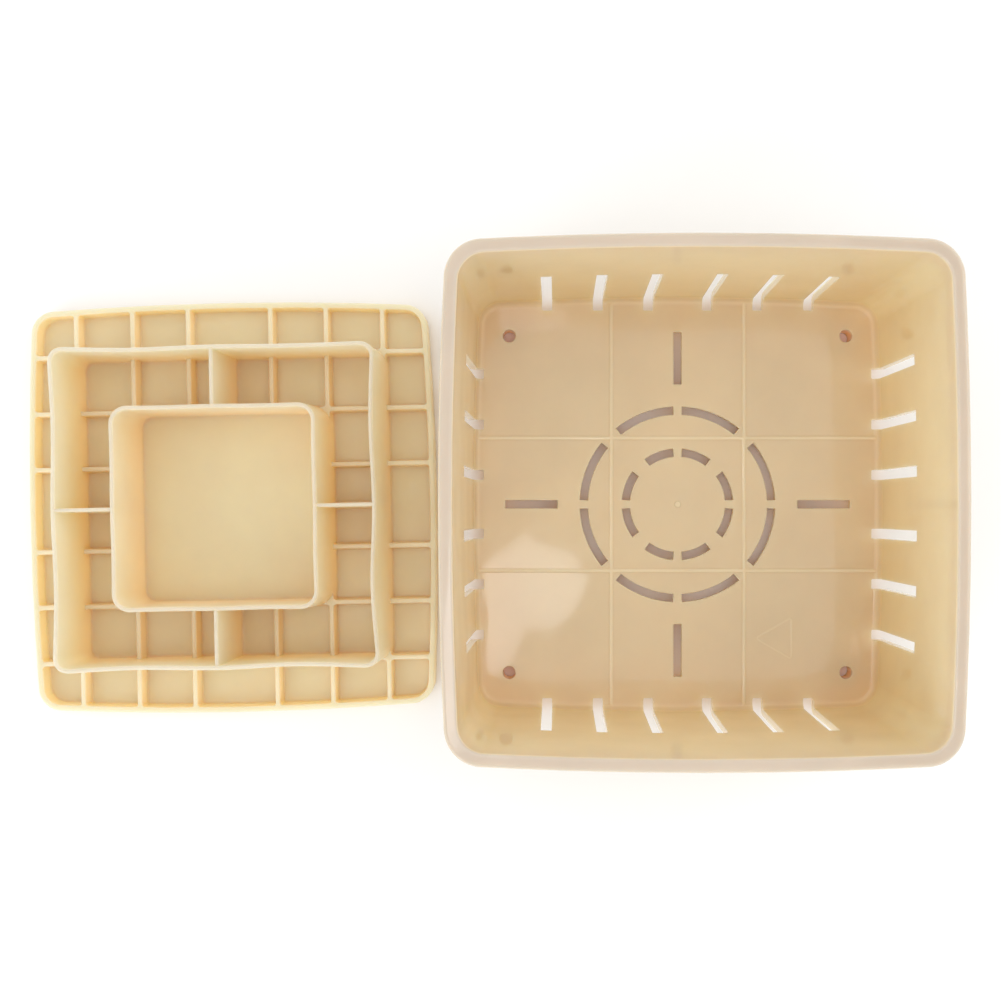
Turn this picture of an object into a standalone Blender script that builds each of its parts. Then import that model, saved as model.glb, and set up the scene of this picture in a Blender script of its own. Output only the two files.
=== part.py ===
"""Square cheese mold of two mouldings: a drained pressing box, and the ribbed press plate that goes in it.

Metres, +Z up. Both stand on z = 0, the plate laid beside the box with its flat pressing face down,
and the pair is centred on the origin.
"""

import math

import bmesh
import bpy

MM = 0.001

# Where the two pieces lie.
BOX_X = 61.18 * MM
PLATE_X = BOX_X - 126.4 * MM
PLATE_Y = -0.9 * MM
PLATE_TURN = math.radians(1.17)

# Mold box. A half size is taken at the middle of a side, where the bowed side stands furthest out,
# and front to back the box is BOX_STRETCH times as long as it is from side to side.
BOX_STRETCH = 1.013
BOX_HEIGHT = 66.0 * MM
FOOT_HEIGHT = 4.0 * MM
FLOOR_THICKNESS = 2.0 * MM
FLOOR_TOP = FOOT_HEIGHT + FLOOR_THICKNESS
CAVITY_HALF_FLOOR = 57.75 * MM
CAVITY_HALF_RIM = 58.6 * MM
WALL_THICKNESS = 1.9 * MM
LIP_HALF = 61.9 * MM
LIP_HEIGHT = 5.0 * MM
BOX_SIDE_RADIUS = 1000.0 * MM
BOX_CORNER_RADIUS = 9.0 * MM
CAVITY_CORNER_RADIUS = 6.5 * MM
FLOOR_FILLET = 2.0 * MM

# Drainage: L-shaped wall slots, straight slots, two rings of arc slots and the bores of the feet.
WALL_SLOT_PLACES = [8.35 * MM, 22.65 * MM, 37.05 * MM]
WALL_SLOT_WIDTH = 2.8 * MM
WALL_SLOT_START = 55.05 * MM
WALL_SLOT_RISE = 31.0 * MM
STRAIGHT_SLOT_CENTRE = 41.55 * MM
STRAIGHT_SLOT_LENGTH = 14.9 * MM
FLOOR_SLOT_WIDTH = 2.3 * MM
RING_RADII = [(26.65 * MM, math.radians(39.0)), (14.7 * MM, math.radians(36.0))]
RING_BRIDGE = 2.4 * MM
ARC_STEPS = 6
FOOT_PLACE = 47.85 * MM
FOOT_RADIUS = 4.5 * MM
FOOT_BORE_RADIUS = 1.8 * MM

# Raised lines that divide the floor in nine.
GRID_LINE_PLACE = 18.85 * MM
GRID_LINE_WIDTH = 0.8 * MM
GRID_LINE_RISE = 0.2 * MM

# Press plate: a shallow tray with a grid of low ribs, and two tall square frames tied by four tall ribs.
PLATE_STRETCH = 1.009
PLATE_HALF = 57.7 * MM
PLATE_SIDE_RADIUS = 860.0 * MM
PLATE_CORNER_RADIUS = 6.5 * MM
PLATE_THICKNESS = 1.6 * MM
PLATE_RIM_HEIGHT = 6.0 * MM
PLATE_RIM_THICKNESS = 1.5 * MM
RIB_PLACES = [11.7 * MM, 27.5 * MM, 43.5 * MM]
RIB_THICKNESS = 1.2 * MM
RIB_DROP = 0.1 * MM
FRAME_HEIGHT = 24.4 * MM
FRAME_THICKNESS_BASE = 1.8 * MM
FRAME_THICKNESS_TOP = 1.2 * MM
FRAME_LEVELS = 4
MIDDLE_HALF_BASE = 43.5 * MM
MIDDLE_HALF_TOP = 43.1 * MM
MIDDLE_CORNER_RADIUS = 3.6 * MM
MIDDLE_PULL = 0.55 * MM
INNER_HALF_BASE = 27.5 * MM
INNER_HALF_TOP = 27.2 * MM
INNER_CORNER_RADIUS = 4.4 * MM
TIE_THICKNESS = 1.2 * MM
TIE_DROP = 0.3 * MM

# A bowed square has this many points along a side and round a corner.
SIDE_STEPS = 12
CORNER_STEPS = 6
FILLET_SEGMENTS = 3
BORE_SEGMENTS = 16
FOOT_SEGMENTS = 24
SMOOTH_ANGLE = math.radians(35.0)
STRAIGHT = 1000.0
OVERCUT = 5.0 * MM
SINK = 0.6 * MM

BOX_COLOUR = (0.70, 0.53, 0.33)
BOX_ROUGHNESS = 0.25
PLATE_COLOUR = (0.72, 0.53, 0.32)
PLATE_ROUGHNESS = 0.45


def clear_scene():
    for obj in list(bpy.data.objects):
        bpy.data.objects.remove(obj, do_unlink=True)
    for collection in list(bpy.data.collections):
        bpy.data.collections.remove(collection)


def new_collection(name):
    collection = bpy.data.collections.new(name)
    bpy.context.scene.collection.children.link(collection)
    return collection


def plastic(name, colour, roughness):
    material = bpy.data.materials.new(name)
    material.use_nodes = True
    shader = material.node_tree.nodes["Principled BSDF"]
    shader.inputs["Base Color"].default_value = (*colour, 1.0)
    shader.inputs["Roughness"].default_value = roughness
    shader.inputs["Metallic"].default_value = 0.0
    return material


def placed_empty(name, collection, location, turn):
    empty = bpy.data.objects.new(name, None)
    collection.objects.link(empty)
    empty.location = location
    empty.rotation_euler.z = turn
    return empty


def mesh_object(name, bm, collection, parent):
    bmesh.ops.recalc_face_normals(bm, faces=bm.faces)
    mesh = bpy.data.meshes.new(name)
    bm.to_mesh(mesh)
    bm.free()
    obj = bpy.data.objects.new(name, mesh)
    collection.objects.link(obj)
    obj.parent = parent
    return obj


def as_cutter(obj):
    obj.hide_render = True
    obj.display_type = "WIRE"
    return obj


def boolean(target, operand, operation):
    modifier = target.modifiers.new(operand.name, "BOOLEAN")
    modifier.object = operand
    modifier.operation = operation
    modifier.solver = "EXACT"


def shade_smooth(obj):
    obj.data.shade_smooth()
    obj.data.set_sharp_from_angle(angle=SMOOTH_ANGLE)


def bowed_square(half, side_radius, corner_radius, stretch=1.0):
    """Outline, counter-clockwise from the front end of the +X side, of a square with bowed sides.

    Each side is an arc of side_radius, and each corner an arc of corner_radius tangent to both sides.
    The whole is then made stretch times as long in Y.
    """
    side_centre = half - side_radius
    reach = side_radius - corner_radius
    corner_centre = (side_centre + math.sqrt(2 * reach**2 - side_centre**2)) / 2
    meet = math.atan2(corner_centre, corner_centre - side_centre)
    quarter = []
    for step in range(SIDE_STEPS):
        angle = meet * (2 * step / SIDE_STEPS - 1)
        quarter.append((side_centre + side_radius * math.cos(angle), side_radius * math.sin(angle)))
    for step in range(CORNER_STEPS):
        angle = meet + (math.pi / 2 - 2 * meet) * step / CORNER_STEPS
        x = corner_centre + corner_radius * math.cos(angle)
        y = corner_centre + corner_radius * math.sin(angle)
        quarter.append((x, y))
    outline = []
    for _ in range(4):
        outline += quarter
        quarter = [(-y, x) for x, y in quarter]
    return [(x, y * stretch) for x, y in outline]


def add_prism(bm, outline, low, high, top_scale=1.0, low_fillet=0.0):
    """A prism on this outline, with its top scaled for draft and its bottom edge rounded."""
    base = bm.faces.new([bm.verts.new((x, y, low)) for x, y in outline])
    grown = bmesh.ops.extrude_face_region(bm, geom=[base])["geom"]
    top = [item for item in grown if isinstance(item, bmesh.types.BMVert)]
    bmesh.ops.translate(bm, verts=top, vec=(0, 0, high - low))
    bmesh.ops.scale(bm, verts=top, vec=(top_scale, top_scale, 1.0))
    if low_fillet > 0:
        bmesh.ops.bevel(
            bm,
            geom=base.edges[:],
            offset=low_fillet,
            segments=FILLET_SEGMENTS,
            profile=0.5,
            affect="EDGES",
        )


def add_block(bm, centre, size):
    verts = bmesh.ops.create_cube(bm, size=1.0)["verts"]
    bmesh.ops.scale(bm, verts=verts, vec=size)
    bmesh.ops.translate(bm, verts=verts, vec=centre)


def add_rod(bm, x, y, low, high, radius, segments):
    verts = bmesh.ops.create_cone(
        bm, cap_ends=True, segments=segments, radius1=radius, radius2=radius, depth=high - low
    )["verts"]
    bmesh.ops.translate(bm, verts=verts, vec=(x, y, (low + high) / 2))


def four_ways(x, y):
    """The point and its three quarter turns about the middle."""
    turns = []
    for _ in range(4):
        turns.append((x, y))
        x, y = -y, x
    return turns


def arc_slot(radius, start, end, turn):
    """Outline of one arc slot, whose two ends lie on radii."""
    outline = []
    for edge, order in ((radius - FLOOR_SLOT_WIDTH / 2, 1), (radius + FLOOR_SLOT_WIDTH / 2, -1)):
        for step in range(ARC_STEPS + 1)[::order]:
            angle = turn + start + (end - start) * step / ARC_STEPS
            outline.append((edge * math.cos(angle), edge * math.sin(angle)))
    return outline


def add_wall_slots(bm):
    """L-shaped slots: each starts on the floor, turns the corner and rises in the wall."""
    length = LIP_HALF * BOX_STRETCH + OVERCUT - WALL_SLOT_START
    height = FLOOR_TOP + WALL_SLOT_RISE + OVERCUT
    middle = WALL_SLOT_START + length / 2
    for place in WALL_SLOT_PLACES + [-place for place in WALL_SLOT_PLACES]:
        for index, (x, y) in enumerate(four_ways(middle, place)):
            size = (length, WALL_SLOT_WIDTH) if index % 2 == 0 else (WALL_SLOT_WIDTH, length)
            add_block(bm, (x, y, height / 2 - OVERCUT), (*size, height))


def add_floor_slots(bm):
    low, high = -OVERCUT, FLOOR_TOP + OVERCUT
    for index, (x, y) in enumerate(four_ways(STRAIGHT_SLOT_CENTRE, 0.0)):
        flat = (STRAIGHT_SLOT_LENGTH, FLOOR_SLOT_WIDTH)
        size = flat if index % 2 == 0 else flat[::-1]
        add_block(bm, (x, y, (low + high) / 2), (*size, high - low))
    for radius, end in RING_RADII:
        start = math.asin(RING_BRIDGE / 2 / radius)
        for quarter in range(4):
            turn = quarter * math.pi / 2
            add_prism(bm, arc_slot(radius, start, end, turn), low, high)
            add_prism(bm, arc_slot(radius, math.pi / 2 - end, math.pi / 2 - start, turn), low, high)
    for x, y in four_ways(FOOT_PLACE, FOOT_PLACE):
        add_rod(bm, x, y, low, high, FOOT_BORE_RADIUS, BORE_SEGMENTS)


def make_mold_box(parts, cutters, material):
    spot = placed_empty("mold_box_place", parts, (BOX_X, 0.0, 0.0), 0.0)

    draft = (CAVITY_HALF_RIM + WALL_THICKNESS) / (CAVITY_HALF_FLOOR + WALL_THICKNESS)
    bm = bmesh.new()
    outer_half = CAVITY_HALF_FLOOR + WALL_THICKNESS
    outer = bowed_square(outer_half, BOX_SIDE_RADIUS, BOX_CORNER_RADIUS, BOX_STRETCH)
    add_prism(bm, outer, FOOT_HEIGHT, BOX_HEIGHT - SINK, draft, FLOOR_FILLET)
    box = mesh_object("mold_box", bm, parts, spot)

    bm = bmesh.new()
    lip_outline = bowed_square(LIP_HALF, BOX_SIDE_RADIUS, BOX_CORNER_RADIUS, BOX_STRETCH)
    add_prism(bm, lip_outline, BOX_HEIGHT - LIP_HEIGHT, BOX_HEIGHT)
    lip = as_cutter(mesh_object("lip_shape", bm, cutters, spot))

    bm = bmesh.new()
    for x, y in four_ways(FOOT_PLACE, FOOT_PLACE):
        add_rod(bm, x, y, 0.0, FOOT_HEIGHT + SINK, FOOT_RADIUS, FOOT_SEGMENTS)
    feet = as_cutter(mesh_object("feet_shape", bm, cutters, spot))

    bm = bmesh.new()
    rise = BOX_HEIGHT - FLOOR_TOP
    over = 1 + (CAVITY_HALF_RIM / CAVITY_HALF_FLOOR - 1) * (rise + OVERCUT) / rise
    cavity_outline = bowed_square(CAVITY_HALF_FLOOR, BOX_SIDE_RADIUS, CAVITY_CORNER_RADIUS, BOX_STRETCH)
    add_prism(bm, cavity_outline, FLOOR_TOP, BOX_HEIGHT + OVERCUT, over, FLOOR_FILLET)
    cavity = as_cutter(mesh_object("cavity_cutter", bm, cutters, spot))

    span = 2 * CAVITY_HALF_FLOOR + WALL_THICKNESS
    line_height = GRID_LINE_RISE + SINK
    line_z = FLOOR_TOP + GRID_LINE_RISE - line_height / 2
    lines = []
    for name, size, shift in (
        ("grid_lines_along_x", (span, GRID_LINE_WIDTH, line_height), (0, 1)),
        ("grid_lines_along_y", (GRID_LINE_WIDTH, span, line_height), (1, 0)),
    ):
        bm = bmesh.new()
        for place in (-GRID_LINE_PLACE, GRID_LINE_PLACE):
            add_block(bm, (shift[0] * place, shift[1] * place, line_z), size)
        lines.append(as_cutter(mesh_object(name, bm, cutters, spot)))

    bm = bmesh.new()
    add_wall_slots(bm)
    add_floor_slots(bm)
    drains = as_cutter(mesh_object("drain_cutter", bm, cutters, spot))

    boolean(box, lip, "UNION")
    boolean(box, feet, "UNION")
    boolean(box, cavity, "DIFFERENCE")
    for line in lines:
        boolean(box, line, "UNION")
    boolean(box, drains, "DIFFERENCE")
    box.data.materials.append(material)
    shade_smooth(box)


def drawn_in(outline, half, pull):
    """The outline with each side drawn in between its middle and its corners."""
    drawn = []
    for x, y in outline:
        inward = pull * math.sin(math.pi * min(abs(x), abs(y)) / half) ** 2
        if abs(x) > abs(y):
            drawn.append((x - math.copysign(inward, x), y))
        else:
            drawn.append((x, y - math.copysign(inward, y)))
    return drawn


def frame_wall(name, half_base, half_top, corner_radius, pull, collection, parent):
    """A tall frame, open above and below. Its walls thin, and its sides are drawn in, towards the top."""
    low, high = PLATE_THICKNESS - SINK, FRAME_HEIGHT
    bm = bmesh.new()
    loops = []
    for level in range(FRAME_LEVELS + 1):
        part = level / FRAME_LEVELS
        half = half_base + (half_top - half_base) * part
        thickness = FRAME_THICKNESS_BASE + (FRAME_THICKNESS_TOP - FRAME_THICKNESS_BASE) * part
        z = low + (high - low) * part
        faces = []
        for offset in (-thickness / 2, thickness / 2):
            outline = bowed_square(half + offset, STRAIGHT, corner_radius + offset)
            outline = drawn_in(outline, half_base, pull * part**2)
            faces.append([bm.verts.new((x, y, z)) for x, y in outline])
        loops.append(faces)
    inner = [faces[0] for faces in loops]
    outer = [faces[1] for faces in loops]
    skin = inner + outer[::-1]
    for here, there in zip(skin, skin[1:] + skin[:1]):
        for index in range(len(here)):
            following = (index + 1) % len(here)
            bm.faces.new((here[index], here[following], there[following], there[index]))
    return as_cutter(mesh_object(name, bm, collection, parent))


def rim_reach(place):
    """How far from the middle a low rib runs at this place, so that it ends inside the rim wall."""
    bow = PLATE_SIDE_RADIUS - math.sqrt(PLATE_SIDE_RADIUS**2 - place**2)
    return PLATE_HALF - bow - PLATE_RIM_THICKNESS / 2


def make_press_plate(parts, cutters, material):
    spot = placed_empty("press_plate_place", parts, (PLATE_X, PLATE_Y, 0), PLATE_TURN)

    bm = bmesh.new()
    plate_outline = bowed_square(PLATE_HALF, PLATE_SIDE_RADIUS, PLATE_CORNER_RADIUS, PLATE_STRETCH)
    add_prism(bm, plate_outline, 0.0, PLATE_RIM_HEIGHT)
    plate = mesh_object("press_plate", bm, parts, spot)

    bm = bmesh.new()
    hollow = bowed_square(
        PLATE_HALF - PLATE_RIM_THICKNESS,
        PLATE_SIDE_RADIUS - PLATE_RIM_THICKNESS,
        PLATE_CORNER_RADIUS - PLATE_RIM_THICKNESS,
        PLATE_STRETCH,
    )
    add_prism(bm, hollow, PLATE_THICKNESS, PLATE_RIM_HEIGHT + OVERCUT)
    tray = as_cutter(mesh_object("tray_cutter", bm, cutters, spot))

    bm = bmesh.new()
    add_prism(bm, bowed_square(INNER_HALF_BASE, STRAIGHT, INNER_CORNER_RADIUS), 0.0, FRAME_HEIGHT)
    pocket = as_cutter(mesh_object("pocket_cutter", bm, cutters, spot))

    rib_height = PLATE_RIM_HEIGHT - RIB_DROP - PLATE_THICKNESS + SINK
    rib_z = PLATE_THICKNESS - SINK + rib_height / 2
    ribs = []
    for name, along_x in (("low_ribs_along_x", True), ("low_ribs_along_y", False)):
        bm = bmesh.new()
        for place in RIB_PLACES + [-place for place in RIB_PLACES]:
            length = 2 * rim_reach(place) * (1.0 if along_x else PLATE_STRETCH)
            centre = (0, place, rib_z) if along_x else (place, 0, rib_z)
            flat = (length, RIB_THICKNESS) if along_x else (RIB_THICKNESS, length)
            add_block(bm, centre, (*flat, rib_height))
        rib = as_cutter(mesh_object(name, bm, cutters, spot))
        boolean(rib, pocket, "DIFFERENCE")
        ribs.append(rib)

    middle = frame_wall(
        "middle_frame", MIDDLE_HALF_BASE, MIDDLE_HALF_TOP, MIDDLE_CORNER_RADIUS, MIDDLE_PULL, cutters, spot
    )
    inner = frame_wall(
        "inner_frame", INNER_HALF_BASE, INNER_HALF_TOP, INNER_CORNER_RADIUS, 0.0, cutters, spot
    )

    bm = bmesh.new()
    tie_length = MIDDLE_HALF_TOP - INNER_HALF_BASE
    tie_height = FRAME_HEIGHT - TIE_DROP - PLATE_THICKNESS + SINK
    for index, (x, y) in enumerate(four_ways(INNER_HALF_BASE + tie_length / 2, 0.0)):
        flat = (tie_length, TIE_THICKNESS) if index % 2 == 0 else (TIE_THICKNESS, tie_length)
        add_block(bm, (x, y, PLATE_THICKNESS - SINK + tie_height / 2), (*flat, tie_height))
    ties = as_cutter(mesh_object("tie_ribs", bm, cutters, spot))

    boolean(plate, tray, "DIFFERENCE")
    for shape in (*ribs, middle, inner, ties):
        boolean(plate, shape, "UNION")
    plate.data.materials.append(material)
    shade_smooth(plate)


def main():
    clear_scene()
    parts = new_collection("cheese_mold")
    cutters = new_collection("cutters")
    make_mold_box(parts, cutters, plastic("box_plastic", BOX_COLOUR, BOX_ROUGHNESS))
    make_press_plate(parts, cutters, plastic("plate_plastic", PLATE_COLOUR, PLATE_ROUGHNESS))


main()
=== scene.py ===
"""A cheese mold in ivory polypropylene: the drained pressing box and the ribbed press plate."""

import math
from functools import partial

import bmesh
import bpy
from mathutils import Matrix, Quaternion, Vector


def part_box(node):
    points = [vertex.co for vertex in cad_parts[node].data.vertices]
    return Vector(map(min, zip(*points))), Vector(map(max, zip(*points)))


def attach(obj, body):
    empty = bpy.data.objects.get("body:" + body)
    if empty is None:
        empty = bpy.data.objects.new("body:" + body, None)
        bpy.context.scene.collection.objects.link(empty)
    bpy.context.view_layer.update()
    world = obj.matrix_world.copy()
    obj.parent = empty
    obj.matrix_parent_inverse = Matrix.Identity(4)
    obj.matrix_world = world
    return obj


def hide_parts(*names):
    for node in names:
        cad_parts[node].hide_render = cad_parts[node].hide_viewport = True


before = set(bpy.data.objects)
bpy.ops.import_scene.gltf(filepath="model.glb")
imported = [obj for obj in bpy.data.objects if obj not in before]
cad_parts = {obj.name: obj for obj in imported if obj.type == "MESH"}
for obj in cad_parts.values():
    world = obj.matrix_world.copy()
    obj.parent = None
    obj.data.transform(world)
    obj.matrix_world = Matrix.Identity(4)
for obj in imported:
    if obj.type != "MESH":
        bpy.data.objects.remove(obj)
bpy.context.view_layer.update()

MM = 0.001

# How far a cutter reaches past what it cuts, and how far an added piece reaches into its base.
OVERCUT = 5.0 * MM
SINK = 0.6 * MM

# Mold box, in its own place with the middle of its floor above the origin.
BOX_STRETCH = 1.013
BOX_HEIGHT = 66.0 * MM
FOOT_HEIGHT = 4.0 * MM
FLOOR_TOP = 6.0 * MM
CAVITY_HALF_FLOOR = 57.75 * MM
CAVITY_HALF_RIM = 58.6 * MM
WALL_THICKNESS = 1.9 * MM
LIP_HALF = 61.9 * MM
LIP_HEIGHT = 5.0 * MM
BOX_SIDE_RADIUS = 1000.0 * MM
BOX_CORNER_RADIUS = 9.0 * MM
CAVITY_CORNER_RADIUS = 6.5 * MM
FLOOR_FILLET = 2.0 * MM
LIP_EDGE = 1.0 * MM
LIP_EDGE_STEPS = 5
LIP_LOWER_EDGE = 0.2 * MM
LIP_LOWER_STEPS = 2
RIM_INNER_EDGE = 0.6 * MM
FLOOR_FILLET_STEPS = 6
BOX_SIDE_PLACES = [0.0, 15.5 * MM, 30.0 * MM, 44.0 * MM]

WALL_SLOT_PLACES = [8.35 * MM, 22.65 * MM, 37.05 * MM]
WALL_SLOT_WIDTH = 2.8 * MM
WALL_SLOT_START = 55.05 * MM
WALL_SLOT_RISE = 31.0 * MM
WALL_SLOT_CORNER = 0.35 * MM
STRAIGHT_SLOT_CENTRE = 41.55 * MM
STRAIGHT_SLOT_LENGTH = 14.9 * MM
STRAIGHT_SLOT_CORNER = 0.2 * MM
FLOOR_SLOT_WIDTH = 2.3 * MM
SLOT_CORNER_STEPS = 3
SLOT_EDGE = 0.2 * MM
SLOT_EDGE_STEPS = 3
RING_RADII = [(26.65 * MM, math.radians(39.0)), (14.7 * MM, math.radians(36.0))]
RING_BRIDGE = 2.4 * MM
ARC_SLOT_STEPS = 10
FOOT_PLACE = 47.85 * MM
FOOT_RADIUS = 4.5 * MM
FOOT_EDGE = 0.5 * MM
FOOT_SEGMENTS = 40
FOOT_BORE_RADIUS = 1.8 * MM
BORE_SEGMENTS = 32

GRID_LINE_PLACE = 18.85 * MM
GRID_LINE_WIDTH = 1.1 * MM
GRID_LINE_RISE = 0.22 * MM
GRID_LINE_STEPS = 6
GRID_LINE_END_GAP = 0.6 * MM
GATE_RADIUS = 0.9 * MM
GATE_RISE = 0.35 * MM
GATE_EDGE = 0.3 * MM
GATE_SEGMENTS = 24
MARK_PLACE = (29.0 * MM, -38.0 * MM)
MARK_RADIUS = 7.6 * MM
MARK_LINE_WIDTH = 0.8 * MM
MARK_RISE = 0.12 * MM
MARK_CORNER = 0.9 * MM
MARK_CORNER_STEPS = 5

# Press plate, in its own place with its middle on the origin.
PLATE_TURN = math.radians(1.17)
PLATE_STRETCH = 1.009
PLATE_HALF = 57.7 * MM
PLATE_SIDE_RADIUS = 860.0 * MM
PLATE_CORNER_RADIUS = 6.5 * MM
PLATE_THICKNESS = 1.6 * MM
PLATE_RIM_HEIGHT = 6.0 * MM
PLATE_RIM_THICKNESS = 1.6 * MM
PLATE_EDGE = 0.55 * MM
PLATE_SIDE_PLACES = [0.0, 19.6 * MM, 35.5 * MM, 48.5 * MM]
RIB_PLACES = [11.7 * MM, 27.5 * MM, 43.5 * MM]
RIB_THICKNESS = 1.25 * MM
RIB_EDGE = 0.3 * MM
RIB_EDGE_STEPS = 3
CELL_CORNER = 0.75 * MM
CELL_CORNER_STEPS = 4
CELL_RIM_CORNER_STEPS = 8
CELL_FILLET = 0.55 * MM
CELL_DRAFT = 0.08 * MM
SHARP_TURN = math.radians(20)

# The columns and the rows that the flat pocket in the inner frame takes up, counted from 0.
POCKET_CELLS = range(2, 5)

FRAME_HEIGHT = 24.4 * MM
FRAME_THICKNESS_BASE = 1.8 * MM
FRAME_THICKNESS_TOP = 1.15 * MM
FRAME_FILLET = 0.8 * MM
FRAME_LEVELS = 9
FRAME_CROWN_SHARE = 0.42
FRAME_SIDE_SHARES = [step / 10 for step in range(9)]
FRAME_CORNER_STEPS = 10
FRAME_CORNER_SHARE = 0.7
MIDDLE_HALF_BASE = 43.5 * MM
MIDDLE_HALF_TOP = 43.1 * MM
MIDDLE_CORNER_RADIUS = 3.6 * MM
INNER_HALF_BASE = 27.5 * MM
INNER_HALF_TOP = 27.2 * MM
INNER_CORNER_RADIUS = 4.4 * MM
TIE_THICKNESS_BASE = 1.5 * MM
TIE_THICKNESS_TOP = 1.0 * MM
TIE_DROP = 0.15 * MM

# How far the top of each half side of a frame is drawn in, and how far its corners stand out.
# The halves follow one another counter-clockwise from the front half of the +X side.
MIDDLE_PULLS = [pull * MM for pull in (0.9, 0.55, 0.15, 0.45, 0.5, 0.5, 0.5, 0.65)]
MIDDLE_CORNER_OUT = 0.3 * MM
INNER_PULLS = [0.15 * MM] * 8
CORNER_OUT_POWER = 6

# A side radius of STRAIGHT is so large, at 1 km, that the side has no bow.
STRAIGHT = 1000.0
CORNER_STEPS = 14
ROUND_STEPS = 4
SIDE_END_SHARE = 0.99
WELD_DISTANCE = 0.002 * MM
SMOOTH_ANGLE = math.radians(32)
FLAT_FACE_WEIGHT = 80


def arc_angles(places, half, side_radius, corner_radius):
    """What bowed_square needs of one side, which is an arc about a centre of its own.

    Gives the angles of the side's points and the angle at which the corner begins, both about that
    centre, and the corner's own centre.
    """
    side_centre = half - side_radius
    reach = side_radius - corner_radius
    corner_centre = (side_centre + math.sqrt(2 * reach**2 - side_centre**2)) / 2
    meet = math.atan2(corner_centre, corner_centre - side_centre)
    inner = sorted({math.copysign(place, sign) for place in places for sign in (-1, 1)})
    angles = [math.asin(place / side_radius) for place in inner]
    return [angle for angle in angles if abs(angle) < meet * SIDE_END_SHARE], meet, corner_centre


def bowed_square(half, side_radius, corner_radius, places, stretch=1.0, corner_steps=CORNER_STEPS):
    """Outline, counter-clockwise from the front end of the +X side, of a square with bowed sides.

    Each side is an arc of side_radius with points at these places along it. Each corner is an arc
    of corner_radius tangent to both sides. The whole is then made stretch times as long in Y.
    """
    angles, meet, corner_centre = arc_angles(places, half, side_radius, corner_radius)
    side_centre = half - side_radius
    quarter = []
    for angle in [-meet, *angles]:
        x = side_centre + side_radius * math.cos(angle)
        quarter.append((x, side_radius * math.sin(angle)))
    for step in range(corner_steps):
        angle = meet + (math.pi / 2 - 2 * meet) * step / corner_steps
        x = corner_centre + corner_radius * math.cos(angle)
        y = corner_centre + corner_radius * math.sin(angle)
        quarter.append((x, y))
    outline = []
    for _ in range(4):
        outline += quarter
        quarter = [(-y, x) for x, y in quarter]
    return [(x, y * stretch) for x, y in outline]


def four_ways(x, y):
    """The point and its three quarter turns about the middle."""
    turns = []
    for _ in range(4):
        turns.append((x, y))
        x, y = -y, x
    return turns


def rounding(radius, steps=ROUND_STEPS):
    """(inset, drop) of points round a quarter circle, from the side face to the end face."""
    points = []
    for step in range(steps + 1):
        angle = math.pi / 2 * step / steps
        points.append((radius * (1 - math.cos(angle)), radius * (1 - math.sin(angle))))
    return points


def vertex_loops(bm, rings):
    return [[bm.verts.new(point) for point in ring] for ring in rings]


def bridge(bm, loops):
    """Joins each loop of vertices to the next with a band of faces."""
    for here, there in zip(loops, loops[1:]):
        for index in range(len(here)):
            following = (index + 1) % len(here)
            bm.faces.new((here[index], here[following], there[following], there[index]))


def loft(bm, rings, closed=False):
    """Skins the rings of (x, y, z) points in order. It caps the ends or, if closed, joins them."""
    loops = vertex_loops(bm, rings)
    bridge(bm, loops + loops[:1] if closed else loops)
    if not closed:
        bm.faces.new(loops[0])
        bm.faces.new(loops[-1])


def at_height(outline, z):
    return [(x, y, z) for x, y in outline]


def mesh_object(name, bm):
    bmesh.ops.recalc_face_normals(bm, faces=bm.faces)
    mesh = bpy.data.meshes.new(name)
    bm.to_mesh(mesh)
    bm.free()
    obj = bpy.data.objects.new(name, mesh)
    bpy.context.scene.collection.objects.link(obj)
    return obj


def combine(target, operand, operation):
    """Joins or cuts the target with the operand, and removes the operand."""
    modifier = target.modifiers.new(operand.name, "BOOLEAN")
    modifier.object = operand
    modifier.operation = operation
    modifier.solver = "EXACT"
    graph = bpy.context.evaluated_depsgraph_get()
    mesh = bpy.data.meshes.new_from_object(target.evaluated_get(graph))
    target.modifiers.clear()
    target.data = mesh
    bpy.data.objects.remove(operand)


def finish_surface(obj, material):
    """Cleans up after the Booleans, shades the rounds smooth and gives the piece its material."""
    bm = bmesh.new()
    bm.from_mesh(obj.data)
    bmesh.ops.remove_doubles(bm, verts=bm.verts, dist=WELD_DISTANCE)
    bmesh.ops.dissolve_degenerate(bm, edges=bm.edges, dist=WELD_DISTANCE)
    bmesh.ops.recalc_face_normals(bm, faces=bm.faces)
    bm.to_mesh(obj.data)
    bm.free()
    obj.data.shade_smooth()
    obj.data.set_sharp_from_angle(angle=SMOOTH_ANGLE)
    weighted = obj.modifiers.new("weighted_normals", "WEIGHTED_NORMAL")
    weighted.mode = "FACE_AREA"
    weighted.weight = FLAT_FACE_WEIGHT
    weighted.keep_sharp = True
    obj.data.materials.clear()
    obj.data.materials.append(material)


# Mold box


def box_ring(half, corner_radius, z):
    """The outline of the box, outside or inside, at this height."""
    places = BOX_SIDE_PLACES
    return at_height(bowed_square(half, BOX_SIDE_RADIUS, corner_radius, places, BOX_STRETCH), z)


def cavity_half(z):
    """Half the width of the cavity at this height, which widens towards the rim."""
    widening = (CAVITY_HALF_RIM - CAVITY_HALF_FLOOR) / (BOX_HEIGHT - FLOOR_TOP)
    return CAVITY_HALF_FLOOR + widening * (z - FLOOR_TOP)


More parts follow.
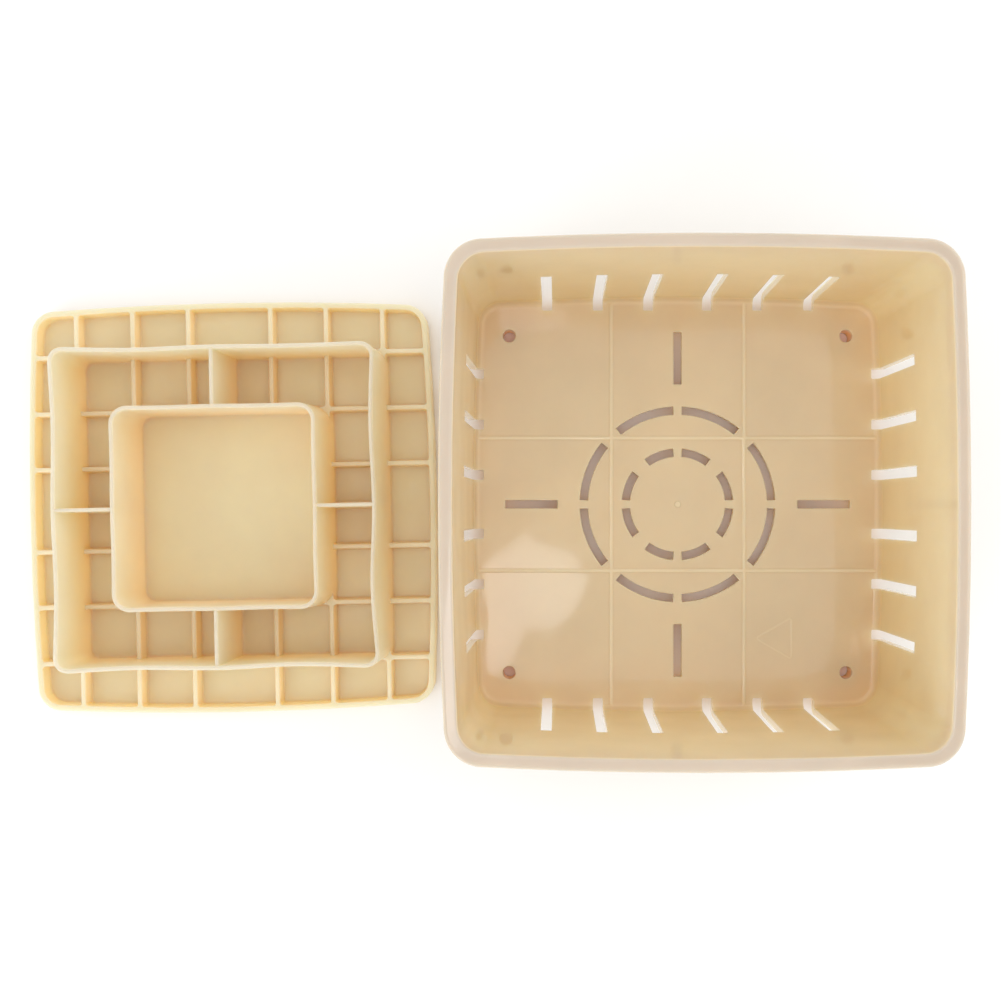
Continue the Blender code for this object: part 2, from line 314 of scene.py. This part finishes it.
def box_shell():
    """Floor, walls and lip in one skin: up the outside, over the rim and down into the cavity."""
    rings = []
    for inset, drop in reversed(rounding(FLOOR_FILLET)):
        z = FOOT_HEIGHT + drop
        half = cavity_half(z) + WALL_THICKNESS - inset
        rings.append(box_ring(half, BOX_CORNER_RADIUS - inset, z))
    lip_low = BOX_HEIGHT - LIP_HEIGHT
    rings.append(box_ring(cavity_half(lip_low) + WALL_THICKNESS, BOX_CORNER_RADIUS, lip_low))
    for inset, drop in reversed(rounding(LIP_LOWER_EDGE, LIP_LOWER_STEPS)):
        rings.append(box_ring(LIP_HALF - inset, BOX_CORNER_RADIUS - inset, lip_low + drop))
    for inset, drop in rounding(LIP_EDGE, LIP_EDGE_STEPS):
        rings.append(box_ring(LIP_HALF - inset, BOX_CORNER_RADIUS - inset, BOX_HEIGHT - drop))
    for inset, drop in reversed(rounding(RIM_INNER_EDGE)):
        half = cavity_half(BOX_HEIGHT - RIM_INNER_EDGE) + inset
        rings.append(box_ring(half, CAVITY_CORNER_RADIUS + inset, BOX_HEIGHT - drop))
    for inset, drop in rounding(FLOOR_FILLET, FLOOR_FILLET_STEPS):
        z = FLOOR_TOP + drop
        rings.append(box_ring(cavity_half(z) - inset, CAVITY_CORNER_RADIUS - inset, z))
    bm = bmesh.new()
    loft(bm, rings)
    return mesh_object("mold_box_shell", bm)


def rounded_rectangle(length, width, corner):
    """Outline about the origin, longer along X."""
    outline = []
    for turn, (x, y) in enumerate(((1, 1), (-1, 1), (-1, -1), (1, -1))):
        for step in range(SLOT_CORNER_STEPS + 1):
            angle = math.pi / 2 * (turn + step / SLOT_CORNER_STEPS)
            along = x * (length / 2 - corner) + corner * math.cos(angle)
            across = y * (width / 2 - corner) + corner * math.sin(angle)
            outline.append((along, across))
    return outline


def flared_cutter(bm, outline_at):
    """A cutter through the floor, which widens at both faces of the floor to round the edges.

    outline_at(extra) gives the outline grown by extra all round.
    """
    widest = outline_at(SLOT_EDGE)
    rings = [at_height(widest, -OVERCUT), at_height(widest, FOOT_HEIGHT)]
    for inset, drop in rounding(SLOT_EDGE, SLOT_EDGE_STEPS)[::-1][1:]:
        rings.append(at_height(outline_at(inset), FOOT_HEIGHT + SLOT_EDGE - drop))
    for inset, drop in rounding(SLOT_EDGE, SLOT_EDGE_STEPS):
        rings.append(at_height(outline_at(inset), FLOOR_TOP - drop))
    rings.append(at_height(widest, FLOOR_TOP + OVERCUT))
    loft(bm, rings)


def straight_outline(x, y, extra):
    """Outline, grown by extra, of the straight slot about this point, which points inwards."""
    length = STRAIGHT_SLOT_LENGTH + 2 * extra
    width = FLOOR_SLOT_WIDTH + 2 * extra
    outline = rounded_rectangle(length, width, STRAIGHT_SLOT_CORNER + extra)
    if abs(y) > abs(x):
        outline = [(-across, along) for along, across in outline]
    return [(x + a, y + b) for a, b in outline]


def arc_outline(radius, start, end, turn, extra):
    """Outline of one arc slot, whose two ends lie on radii, grown by extra."""
    outline = []
    grow = extra / radius
    for edge, order in ((-1, 1), (1, -1)):
        reach = radius + edge * (FLOOR_SLOT_WIDTH / 2 + extra)
        for step in range(ARC_SLOT_STEPS + 1)[::order]:
            angle = turn + start - grow + (end - start + 2 * grow) * step / ARC_SLOT_STEPS
            outline.append((reach * math.cos(angle), reach * math.sin(angle)))
    return outline


def disc_outline(x, y, radius, segments):
    turns = [2 * math.pi * step / segments for step in range(segments)]
    return [(x + radius * math.cos(turn), y + radius * math.sin(turn)) for turn in turns]


def foot_bore(bm, x, y):
    """A cutter for the bore of the foot at this point, with a rounded edge at the floor."""
    bore = disc_outline(x, y, FOOT_BORE_RADIUS, BORE_SEGMENTS)
    rings = [at_height(bore, -OVERCUT), at_height(bore, FLOOR_TOP - SLOT_EDGE)]
    for inset, drop in rounding(SLOT_EDGE, SLOT_EDGE_STEPS)[1:]:
        flare = disc_outline(x, y, FOOT_BORE_RADIUS + inset, BORE_SEGMENTS)
        rings.append(at_height(flare, FLOOR_TOP - drop))
    rings.append(at_height(flare, FLOOR_TOP + OVERCUT))
    loft(bm, rings)


def floor_openings():
    """Straight slots, two rings of arc slots and the bores of the feet."""
    bm = bmesh.new()
    for x, y in four_ways(STRAIGHT_SLOT_CENTRE, 0.0):
        flared_cutter(bm, partial(straight_outline, x, y))
    for radius, end in RING_RADII:
        start = math.asin(RING_BRIDGE / 2 / radius)
        for quarter in range(4):
            turn = quarter * math.pi / 2
            for low, high in ((start, end), (math.pi / 2 - end, math.pi / 2 - start)):
                flared_cutter(bm, partial(arc_outline, radius, low, high, turn))
    for x, y in four_ways(FOOT_PLACE, FOOT_PLACE):
        foot_bore(bm, x, y)
    return mesh_object("floor_openings", bm)


def wall_openings():
    """L-shaped slots: each starts on the floor, turns the corner and rises in the wall."""
    bm = bmesh.new()
    length = LIP_HALF * BOX_STRETCH + OVERCUT - WALL_SLOT_START
    high = FLOOR_TOP + WALL_SLOT_RISE
    middle = WALL_SLOT_START + length / 2
    outline = rounded_rectangle(length, WALL_SLOT_WIDTH, WALL_SLOT_CORNER)
    for place in WALL_SLOT_PLACES + [-place for place in WALL_SLOT_PLACES]:
        for index, (x, y) in enumerate(four_ways(middle, place)):
            turned = [(-b, a) for a, b in outline] if index % 2 else outline
            slot = [(x + a, y + b) for a, b in turned]
            loft(bm, [at_height(slot, -OVERCUT), at_height(slot, high)])
    return mesh_object("wall_openings", bm)


def feet():
    """Four round feet, sunk into the floor, with a rounded lower edge."""
    bm = bmesh.new()
    for x, y in four_ways(FOOT_PLACE, FOOT_PLACE):
        rings = []
        for inset, drop in reversed(rounding(FOOT_EDGE)):
            rings.append(at_height(disc_outline(x, y, FOOT_RADIUS - inset, FOOT_SEGMENTS), drop))
        rings.append(at_height(disc_outline(x, y, FOOT_RADIUS, FOOT_SEGMENTS), FOOT_HEIGHT + SINK))
        loft(bm, rings)
    return mesh_object("box_feet", bm)


def grid_line(bm, start, end):
    """A low rounded ridge on the floor from start to end, sunk a little into it."""
    along = (Vector(end) - Vector(start)).normalized()
    side = Vector((-along.y, along.x))
    half = GRID_LINE_WIDTH / 2
    section = [(-half, -SINK), (half, -SINK)]
    for step in range(GRID_LINE_STEPS + 1):
        angle = math.pi * step / GRID_LINE_STEPS
        section.append((half * math.cos(angle), GRID_LINE_RISE * math.sin(angle)))
    rings = []
    for x, y in (start, end):
        rings.append([(x + side.x * a, y + side.y * a, FLOOR_TOP + b) for a, b in section])
    loft(bm, rings)


def grid_lines(along_x):
    """Two of the four raised lines that divide the floor in nine."""
    bm = bmesh.new()
    stretch = 1.0 if along_x else BOX_STRETCH
    reach = (CAVITY_HALF_FLOOR + WALL_THICKNESS / 2) * stretch - GRID_LINE_END_GAP
    for place in (-GRID_LINE_PLACE, GRID_LINE_PLACE):
        if along_x:
            grid_line(bm, (-reach, place), (reach, place))
        else:
            grid_line(bm, (place, -reach), (place, reach))
    return mesh_object("grid_lines", bm)


def gate_nub():
    """The small round stub left where the plastic entered the mould."""
    bm = bmesh.new()
    rings = [at_height(disc_outline(0, 0, GATE_RADIUS, GATE_SEGMENTS), FLOOR_TOP - SINK)]
    for inset, drop in rounding(GATE_EDGE):
        outline = disc_outline(0, 0, GATE_RADIUS - inset, GATE_SEGMENTS)
        rings.append(at_height(outline, FLOOR_TOP + GATE_RISE - drop))
    loft(bm, rings)
    return mesh_object("gate_nub", bm)


def mark_outline(reach, corner):
    """A triangle that points to -X, with corners at this reach before they are rounded."""
    outline = []
    for turn in range(3):
        facing = math.pi * (1 + 2 * turn / 3)
        centre = (reach - 2 * corner) * math.cos(facing), (reach - 2 * corner) * math.sin(facing)
        for step in range(MARK_CORNER_STEPS + 1):
            angle = facing + math.pi / 3 * (2 * step / MARK_CORNER_STEPS - 1)
            x = MARK_PLACE[0] + centre[0] + corner * math.cos(angle)
            outline.append((x, MARK_PLACE[1] + centre[1] + corner * math.sin(angle)))
    return outline


def floor_mark():
    """A plain raised triangle of lines on the floor.

    Moving its sides in by some width takes twice that off the reach of its corners.
    """
    bm = bmesh.new()
    side = MARK_LINE_WIDTH / 4
    section = [
        (0.0, -SINK),
        (0.0, 0.0),
        (side, MARK_RISE),
        (MARK_LINE_WIDTH - side, MARK_RISE),
        (MARK_LINE_WIDTH, 0.0),
        (MARK_LINE_WIDTH, -SINK),
    ]
    rings = []
    for inset, rise in section:
        outline = mark_outline(MARK_RADIUS - 2 * inset, MARK_CORNER - inset)
        rings.append(at_height(outline, FLOOR_TOP + rise))
    loft(bm, rings, closed=True)
    return mesh_object("floor_mark", bm)


def make_mold_box(material):
    box = box_shell()
    combine(box, feet(), "UNION")
    combine(box, grid_lines(True), "UNION")
    combine(box, grid_lines(False), "UNION")
    combine(box, gate_nub(), "UNION")
    combine(box, floor_mark(), "UNION")
    combine(box, floor_openings(), "DIFFERENCE")
    combine(box, wall_openings(), "DIFFERENCE")
    box.name = "moulded_box"
    finish_surface(box, material)
    return box


# Press plate


def clipped(outline, axis, limit, keep_below):
    """The part of a convex outline on one side of a line across the axis."""
    kept = []
    sign = 1 if keep_below else -1
    for here, there in zip(outline, outline[1:] + outline[:1]):
        depth_here = sign * (limit - here[axis])
        depth_there = sign * (limit - there[axis])
        if depth_here >= 0:
            kept.append(here)
        if depth_here * depth_there < 0:
            part = depth_here / (depth_here - depth_there)
            kept.append(tuple(a + (b - a) * part for a, b in zip(here, there)))
    return kept


def inset_points(outline, inset, corner):
    """A convex outline moved inwards by inset. Sharp corners get a radius of corner less inset."""
    radius = corner - inset
    points = []
    count = len(outline)
    for index in range(count):
        before, here, after = (Vector(outline[(index + shift) % count]) for shift in (-1, 0, 1))
        first = (here - before).normalized()
        second = (after - here).normalized()
        start = math.atan2(-first.x, first.y)
        turn = math.atan2(first.x * second.y - first.y * second.x, first.dot(second))
        sharp = turn > SHARP_TURN
        depth = corner if sharp else inset
        middle = start + turn / 2
        centre = here - Vector((math.cos(middle), math.sin(middle))) * (depth / math.cos(turn / 2))
        if not sharp:
            points.append((centre.x, centre.y))
            continue
        for step in range(CELL_CORNER_STEPS + 1):
            angle = start + turn * step / CELL_CORNER_STEPS
            x = centre.x + radius * math.cos(angle)
            points.append((x, centre.y + radius * math.sin(angle)))
    return points


def cell_outlines():
    """The outline of each shallow cell between the ribs, except those in the inner frame."""
    inner_rim = bowed_square(
        PLATE_HALF - PLATE_RIM_THICKNESS,
        PLATE_SIDE_RADIUS - PLATE_RIM_THICKNESS,
        PLATE_CORNER_RADIUS - PLATE_RIM_THICKNESS,
        PLATE_SIDE_PLACES,
        PLATE_STRETCH,
        CELL_RIM_CORNER_STEPS,
    )
    beyond = PLATE_HALF * 2
    lines = [-beyond, *[-place for place in RIB_PLACES[::-1]], *RIB_PLACES, beyond]
    spans = list(zip(lines, lines[1:]))
    half_rib = RIB_THICKNESS / 2
    cells = []
    for column, (left, right) in enumerate(spans):
        for row, (front, back) in enumerate(spans):
            if column in POCKET_CELLS and row in POCKET_CELLS:
                continue
            outline = clipped(inner_rim, 0, left + half_rib, False)
            outline = clipped(outline, 0, right - half_rib, True)
            outline = clipped(outline, 1, front + half_rib, False)
            cells.append(clipped(outline, 1, back - half_rib, True))
    return cells


def cell_rings(outline):
    """Rings from the ribs' rounded tops down their drafted sides and round the fillet."""
    rings = []
    for inset, drop in reversed(rounding(RIB_EDGE, RIB_EDGE_STEPS)):
        points = inset_points(outline, -inset, CELL_CORNER)
        rings.append(at_height(points, PLATE_RIM_HEIGHT - drop))
    for inset, drop in rounding(CELL_FILLET):
        points = inset_points(outline, CELL_DRAFT + inset, CELL_CORNER)
        rings.append(at_height(points, PLATE_THICKNESS + drop))
    return rings


def tray_ring(inset, z):
    """The plate's own outline at this height, set in from its side by inset."""
    outline = bowed_square(
        PLATE_HALF - inset,
        PLATE_SIDE_RADIUS - inset,
        PLATE_CORNER_RADIUS - inset,
        PLATE_SIDE_PLACES,
        PLATE_STRETCH,
    )
    return at_height(outline, z)


def tray():
    """The plate without its frames: flat below, with a rim and low ribs of one height above."""
    bm = bmesh.new()
    rings = [tray_ring(inset, drop) for inset, drop in reversed(rounding(PLATE_EDGE))]
    rings += [tray_ring(inset, PLATE_RIM_HEIGHT - drop) for inset, drop in rounding(PLATE_EDGE)]
    skins = [vertex_loops(bm, rings)]
    bm.faces.new(skins[0][0])
    pocket = bowed_square(INNER_HALF_BASE, STRAIGHT, INNER_CORNER_RADIUS, [0.0])
    hollows = [cell_rings(outline) for outline in cell_outlines()]
    hollows.append([at_height(pocket, z) for z in (PLATE_RIM_HEIGHT, PLATE_THICKNESS)])
    for hollow in hollows:
        skins.append(vertex_loops(bm, hollow))
        bm.faces.new(skins[-1][-1])
    for skin in skins:
        bridge(bm, skin)
    open_edges = [edge for edge in bm.edges if len(edge.link_faces) == 1]
    bmesh.ops.triangle_fill(bm, edges=open_edges, use_beauty=True)
    return mesh_object("press_plate_tray", bm)


def wall_profile(height, base, top):
    """(half thickness, height) of points up a drafted wall, from its fillet to its rounded top."""
    points = []
    for inset, drop in reversed(rounding(FRAME_FILLET)):
        points.append((base / 2 + inset, PLATE_THICKNESS + drop))
    crown = top * FRAME_CROWN_SHARE
    low = PLATE_THICKNESS + FRAME_FILLET
    for level in range(1, FRAME_LEVELS + 1):
        part = level / FRAME_LEVELS
        z = low + (height - crown - low) * part
        points.append(((base + (top - base) * part) / 2, z))
    for inset, drop in rounding(crown)[1:]:
        points.append((top / 2 - inset, height - drop))
    return [(points[0][0], PLATE_THICKNESS - SINK)] + points


def frame_shift(x, y, half, pulls, corner_out):
    """How far a point at the top of a frame moves inwards, from its place along its side."""
    turn = (math.atan2(y, x) + math.pi / 4) % (2 * math.pi)
    half_side = int(turn / (math.pi / 4)) % 8
    along = min(1.0, min(abs(x), abs(y)) / half)
    bow = pulls[half_side] * math.sin(math.pi * along) ** 2
    return bow - corner_out * along**CORNER_OUT_POWER


def frame_point(x, y, z, corner_radius, inward):
    """A frame's point moved inwards: towards the middle in a corner, else square to its side."""
    scale = 1 - inward / max(abs(x), abs(y))
    if abs(abs(x) - abs(y)) < corner_radius * FRAME_CORNER_SHARE:
        return (x * scale, y * scale, z)
    if abs(x) > abs(y):
        return (x * scale, y, z)
    return (x, y * scale, z)


def frame_wall(name, half_base, half_top, corner_radius, pulls, corner_out):
    """A tall frame, open above and below, whose sides wander in and out towards the top."""
    places = [half_base * share for share in FRAME_SIDE_SHARES]
    rings = []
    profile = wall_profile(FRAME_HEIGHT, FRAME_THICKNESS_BASE, FRAME_THICKNESS_TOP)
    for side, faces in ((-1, profile), (1, profile[::-1])):
        for half_thickness, z in faces:
            part = max(0.0, (z - PLATE_THICKNESS) / (FRAME_HEIGHT - PLATE_THICKNESS))
            half = half_base + (half_top - half_base) * part
            offset = side * half_thickness
            outline = bowed_square(
                half + offset,
                STRAIGHT,
                corner_radius + offset,
                places,
                corner_steps=FRAME_CORNER_STEPS,
            )
            ring = []
            for x, y in outline:
                inward = frame_shift(x, y, half, pulls, corner_out) * part**2
                ring.append(frame_point(x, y, z, corner_radius, inward))
            rings.append(ring)
    bm = bmesh.new()
    loft(bm, rings, closed=True)
    return mesh_object(name, bm)


def tie_ribs():
    """Four tall ribs from the inner frame to the middle frame, each ending inside their walls."""
    profile = wall_profile(FRAME_HEIGHT - TIE_DROP, TIE_THICKNESS_BASE, TIE_THICKNESS_TOP)
    section = [(-half, z) for half, z in profile] + [(half, z) for half, z in reversed(profile)]
    middle_lean = (MIDDLE_HALF_BASE - MIDDLE_HALF_TOP) / (FRAME_HEIGHT - PLATE_THICKNESS)
    inner_lean = (INNER_HALF_BASE - INNER_HALF_TOP) / (FRAME_HEIGHT - PLATE_THICKNESS)
    bm = bmesh.new()
    for quarter in range(4):
        turn = Matrix.Rotation(quarter * math.pi / 2, 3, "Z")
        rings = []
        for reach, lean in ((INNER_HALF_BASE, inner_lean), (MIDDLE_HALF_BASE, middle_lean)):
            rings.append([turn @ Vector((reach - lean * z, y, z)) for y, z in section])
        loft(bm, rings)
    return mesh_object("tie_ribs", bm)


def make_press_plate(material):
    plate = tray()
    middle = frame_wall(
        "middle_frame",
        half_base=MIDDLE_HALF_BASE,
        half_top=MIDDLE_HALF_TOP,
        corner_radius=MIDDLE_CORNER_RADIUS,
        pulls=MIDDLE_PULLS,
        corner_out=MIDDLE_CORNER_OUT,
    )
    combine(plate, middle, "UNION")
    inner = frame_wall(
        "inner_frame",
        half_base=INNER_HALF_BASE,
        half_top=INNER_HALF_TOP,
        corner_radius=INNER_CORNER_RADIUS,
        pulls=INNER_PULLS,
        corner_out=0.0,
    )
    combine(plate, inner, "UNION")
    combine(plate, tie_ribs(), "UNION")
    plate.name = "moulded_plate"
    finish_surface(plate, material)
    return plate


# Materials

PLASTIC_IOR = 1.49
SCATTER_RADIUS = (1.0, 0.85, 0.7)
SCATTER_SCALE = 5.0 * MM
BOX_ROUGHNESS = 0.06
BOX_WAVE_DEPTH = 0.4 * MM
PLATE_ROUGHNESS = 0.40
PLATE_WAVE_DEPTH = 0.2 * MM
SKIN_DEPTH = 0.005 * MM

# The lowest and highest value that a noise usually has, and the (scale, detail) of each noise.
NOISE_LOW = 0.3
NOISE_HIGH = 0.7
NOISE_ROUGHNESS = 0.55
CLOUD_NOISE = (55.0, 3.0)
POLISH_NOISE = (180.0, 4.0)
WAVE_NOISE = (38.0, 1.0)
SKIN_NOISE = (900.0, 2.0)
CLOUD_SPREAD = 0.03
POLISH_SPREAD = 0.2

# Colours by height, from low to high, of faces that look up and of faces that look sideways.
# Each is the plastic's ivory with painted light and shade in it: the box's floor and low walls
# are darker as painted shade, the plate's cell floors and low walls are warmer and brighter as
# painted bounce light, and the tops of the rim, ribs and frames are less yellow as a painted
# sheen. The box's raised floor lines are paler than the floor. Below the box's floor, the sides
# of the feet and of the openings turn orange as painted light coming through the plastic.
BOX_TOP_COLOURS_AND_PAINTED_LIGHT = [
    (FLOOR_TOP, (0.70, 0.55, 0.345)),
    (FLOOR_TOP + GRID_LINE_RISE, (0.77, 0.63, 0.42)),
    (FLOOR_TOP + 2.5 * GRID_LINE_RISE, (0.71, 0.58, 0.38)),
    (BOX_HEIGHT - LIP_EDGE, (0.56, 0.48, 0.39)),
]
BOX_SIDE_COLOURS_AND_PAINTED_LIGHT = [
    (FOOT_HEIGHT - 1.0 * MM, (0.97, 0.66, 0.33)),
    (FLOOR_TOP, (0.72, 0.60, 0.40)),
    (BOX_HEIGHT, (0.77, 0.68, 0.51)),
]
PLATE_TOP_COLOURS_AND_PAINTED_LIGHT = [
    (PLATE_THICKNESS, (0.98, 0.675, 0.41)),
    (PLATE_RIM_HEIGHT - 0.8 * MM, (0.71, 0.66, 0.46)),
    (FRAME_HEIGHT, (0.60, 0.54, 0.42)),
]
PLATE_SIDE_COLOURS_AND_PAINTED_LIGHT = [(PLATE_THICKNESS, (0.88, 0.72, 0.47)), (FRAME_HEIGHT, (0.82, 0.76, 0.57))]
# Painted glow: faces that look down are coloured as if light came through the plastic, and they
# throw that warm light onto the table beneath.
PAINTED_UNDERSIDE_GLOW = (0.97, 0.62, 0.03)

# The Z of a face's normal over which a side's colour turns into a top's or into the underside's
# painted glow.
SIDE_TO_TOP = (0.1, 0.9)
SIDE_TO_PAINTED_GLOW = (-0.93, -0.99)


def shader_node(tree, kind, **sockets):
    """A new node with these values in its sockets. An underscore stands for a space in a name."""
    made = tree.nodes.new(kind)
    for name, value in sockets.items():
        made.inputs[name.replace("_", " ")].default_value = value
    return made


def remapped(tree, value, low, high, new_low=0.0, new_high=1.0):
    """The value, spread from low to high over new_low to new_high."""
    limits = {"From_Min": low, "From_Max": high, "To_Min": new_low, "To_Max": new_high}
    spread = shader_node(tree, "ShaderNodeMapRange", **limits)
    tree.links.new(value, spread.inputs["Value"])
    return spread.outputs["Result"]


def noise(tree, place, scale, detail):
    sockets = {"Scale": scale, "Detail": detail, "Roughness": NOISE_ROUGHNESS}
    made = shader_node(tree, "ShaderNodeTexNoise", **sockets)
    tree.links.new(place, made.inputs["Vector"])
    return made.outputs["Fac"]


def varied(tree, value, middle, spread):
    """A noise's value turned into the middle value, give or take this share of it."""
    low, high = middle * (1 - spread), middle * (1 + spread)
    return remapped(tree, value, NOISE_LOW, NOISE_HIGH, low, high)


def bumped(tree, value, distance, below=None):
    """A normal bumped by the value over this distance, on top of the normal below."""
    bump = shader_node(tree, "ShaderNodeBump", Strength=1.0, Distance=distance)
    tree.links.new(value, bump.inputs["Height"])
    if below:
        tree.links.new(below, bump.inputs["Normal"])
    return bump.outputs["Normal"]


def separated_z(tree, vector):
    split = tree.nodes.new("ShaderNodeSeparateXYZ")
    tree.links.new(vector, split.inputs["Vector"])
    return split.outputs["Z"]


def colour_mix(tree, factor, first):
    """A node that gives the first colour where the factor is 0, and its input B where it is 1."""
    mix = tree.nodes.new("ShaderNodeMix")
    mix.data_type = "RGBA"
    tree.links.new(factor, mix.inputs["Factor"])
    tree.links.new(first, mix.inputs["A"])
    return mix


def colour_by_height(tree, height, stops):
    """A colour that changes with height. stops are (height, colour) from low to high."""
    ramp = tree.nodes.new("ShaderNodeValToRGB")
    ramp.color_ramp.interpolation = "EASE"
    elements = ramp.color_ramp.elements
    elements.remove(elements[1])
    for index, (place, colour) in enumerate(stops):
        if index > 0:
            elements.new(place / BOX_HEIGHT)
        elements[index].position = place / BOX_HEIGHT
        elements[index].color = (*colour, 1.0)
    tree.links.new(remapped(tree, height, 0.0, BOX_HEIGHT), ramp.inputs["Fac"])
    return ramp.outputs["Color"]


def colour_and_painted_light_by_facing(tree, coordinates, tops, sides):
    """Colour by height for tops and sides, with painted light and shade in its stops, and a warm
    underside painted as if light came through it.
    """
    height = separated_z(tree, coordinates.outputs["Object"])
    facing = separated_z(tree, coordinates.outputs["Normal"])
    side_colour = colour_by_height(tree, height, sides)
    upper = colour_mix(tree, remapped(tree, facing, *SIDE_TO_TOP), side_colour)
    tree.links.new(colour_by_height(tree, height, tops), upper.inputs["B"])
    below = remapped(tree, facing, *SIDE_TO_PAINTED_GLOW)
    whole = colour_mix(tree, below, upper.outputs["Result"])
    whole.inputs["B"].default_value = (*PAINTED_UNDERSIDE_GLOW, 1.0)
    return whole.outputs["Result"]


def moulded_plastic(name, tops, sides, roughness, wave_depth):
    """Milky polypropylene with cloudy flow marks, a faint waviness and a fine skin."""
    material = bpy.data.materials.new(name)
    material.use_nodes = True
    tree = material.node_tree
    shader = tree.nodes["Principled BSDF"]
    shader.inputs["IOR"].default_value = PLASTIC_IOR
    shader.inputs["Subsurface Weight"].default_value = 1.0
    shader.inputs["Subsurface Radius"].default_value = SCATTER_RADIUS
    shader.inputs["Subsurface Scale"].default_value = SCATTER_SCALE
    link = tree.links.new
    coordinates = tree.nodes.new("ShaderNodeTexCoord")
    place = coordinates.outputs["Object"]
    shade = tree.nodes.new("ShaderNodeHueSaturation")
    # The base colour holds painted light and shade by height and facing, on top of the plastic's
    # own ivory.
    link(colour_and_painted_light_by_facing(tree, coordinates, tops, sides), shade.inputs["Color"])
    cloud = varied(tree, noise(tree, place, *CLOUD_NOISE), 1.0, CLOUD_SPREAD)
    link(cloud, shade.inputs["Value"])
    link(shade.outputs["Color"], shader.inputs["Base Color"])
    polish = varied(tree, noise(tree, place, *POLISH_NOISE), roughness, POLISH_SPREAD)
    link(polish, shader.inputs["Roughness"])
    waviness = bumped(tree, noise(tree, place, *WAVE_NOISE), wave_depth)
    skin = bumped(tree, noise(tree, place, *SKIN_NOISE), SKIN_DEPTH, waviness)
    link(skin, shader.inputs["Normal"])
    return material


TABLE_COLOUR = (0.92, 0.92, 0.92)
TABLE_ROUGHNESS = 0.9
TABLE_SHINE = 0.1
TABLE_REACH = 12.0


def table_top():
    """A wide white matt table under the object."""
    material = bpy.data.materials.new("white_table")
    material.use_nodes = True
    shader = material.node_tree.nodes["Principled BSDF"]
    shader.inputs["Base Color"].default_value = (*TABLE_COLOUR, 1.0)
    shader.inputs["Roughness"].default_value = TABLE_ROUGHNESS
    shader.inputs["Specular IOR Level"].default_value = TABLE_SHINE
    bm = bmesh.new()
    bmesh.ops.create_grid(bm, x_segments=1, y_segments=1, size=TABLE_REACH)
    floor = mesh_object("table_top", bm)
    floor.data.materials.append(material)


# Light and camera

WHITE = (1.0, 1.0, 1.0)
STUDIO_MIDDLE = (0.0, 0.0, 0.0)
WORLD_BRIGHTNESS = 0.95
PANEL_MIDDLE = (-72.0 * MM, -169.0 * MM, 0.0)
PANEL_HEIGHT = 1.19
PANEL_TURN = math.radians(-40.5)
LIGHT_BOUNCES = 12
CAMERA_PLACE = (27.0 * MM, -1.9 * MM, 328.5 * MM)
CAMERA_SENSOR = 36.0
CAMERA_LENS = 40.83
CAMERA_SHIFT_X = -0.0567
CAMERA_SHIFT_Y = 0.0105
CAMERA_NEAREST = 10.0 * MM


def world_light(strength):
    world = bpy.data.worlds.new("studio")
    bpy.context.scene.world = world
    world.use_nodes = True
    background = world.node_tree.nodes["Background"]
    background.inputs["Color"].default_value = (*WHITE, 1.0)
    background.inputs["Strength"].default_value = strength


def softbox(name, location, width, depth, brightness, target=STUDIO_MIDDLE, turn=0.0):
    """An area light that faces the target and is turned about its own axis."""
    light = bpy.data.lights.new(name, "AREA")
    light.shape = "RECTANGLE"
    light.size = width
    light.size_y = depth
    light.energy = brightness * math.pi * width * depth
    obj = bpy.data.objects.new(name, light)
    bpy.context.scene.collection.objects.link(obj)
    obj.location = location
    facing = (Vector(target) - Vector(location)).to_track_quat("-Z", "Y")
    obj.rotation_euler = (facing @ Quaternion((0.0, 0.0, 1.0), turn)).to_euler()


def overhead_camera():
    camera = bpy.data.cameras.new("overhead")
    camera.sensor_width = CAMERA_SENSOR
    camera.lens = CAMERA_LENS
    camera.shift_x = CAMERA_SHIFT_X
    camera.shift_y = CAMERA_SHIFT_Y
    camera.clip_start = CAMERA_NEAREST
    obj = bpy.data.objects.new("overhead", camera)
    bpy.context.scene.collection.objects.link(obj)
    obj.location = CAMERA_PLACE
    bpy.context.scene.camera = obj


def placed(obj, node, turn):
    """Puts a piece made about the origin where the CAD node stands."""
    low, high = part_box(node)
    middle = (low + high) / 2
    shift = Matrix.Translation((middle.x, middle.y, 0.0))
    obj.data.transform(shift @ Matrix.Rotation(turn, 4, "Z"))


box = make_mold_box(
    moulded_plastic("ivory_gloss", BOX_TOP_COLOURS_AND_PAINTED_LIGHT, BOX_SIDE_COLOURS_AND_PAINTED_LIGHT, BOX_ROUGHNESS, BOX_WAVE_DEPTH)
)
placed(box, "mold_box", 0.0)
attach(box, "mold_box")
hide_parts("mold_box")

plate = make_press_plate(
    moulded_plastic("ivory_satin", PLATE_TOP_COLOURS_AND_PAINTED_LIGHT, PLATE_SIDE_COLOURS_AND_PAINTED_LIGHT, PLATE_ROUGHNESS, PLATE_WAVE_DEPTH)
)
placed(plate, "press_plate", PLATE_TURN)
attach(plate, "press_plate")
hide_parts("press_plate")

table_top()
world_light(WORLD_BRIGHTNESS)
softbox("overhead", (0.0, 0.0, 1.2), width=0.8, depth=0.8, brightness=0.8)
softbox("front_left", (-0.8, -0.8, 0.7), width=0.7, depth=0.7, brightness=1.8)
softbox("right", (0.8, 0.2, 0.7), width=0.7, depth=0.7, brightness=0.9)
panel_place = (PANEL_MIDDLE[0], PANEL_MIDDLE[1], PANEL_HEIGHT)
softbox(
    "panel",
    panel_place,
    width=0.12,
    depth=0.30,
    brightness=3.5,
    target=PANEL_MIDDLE,
    turn=PANEL_TURN,
)
bpy.context.scene.cycles.diffuse_bounces = LIGHT_BOUNCES
overhead_camera()
bpy.context.scene.view_settings.view_transform = "Standard"
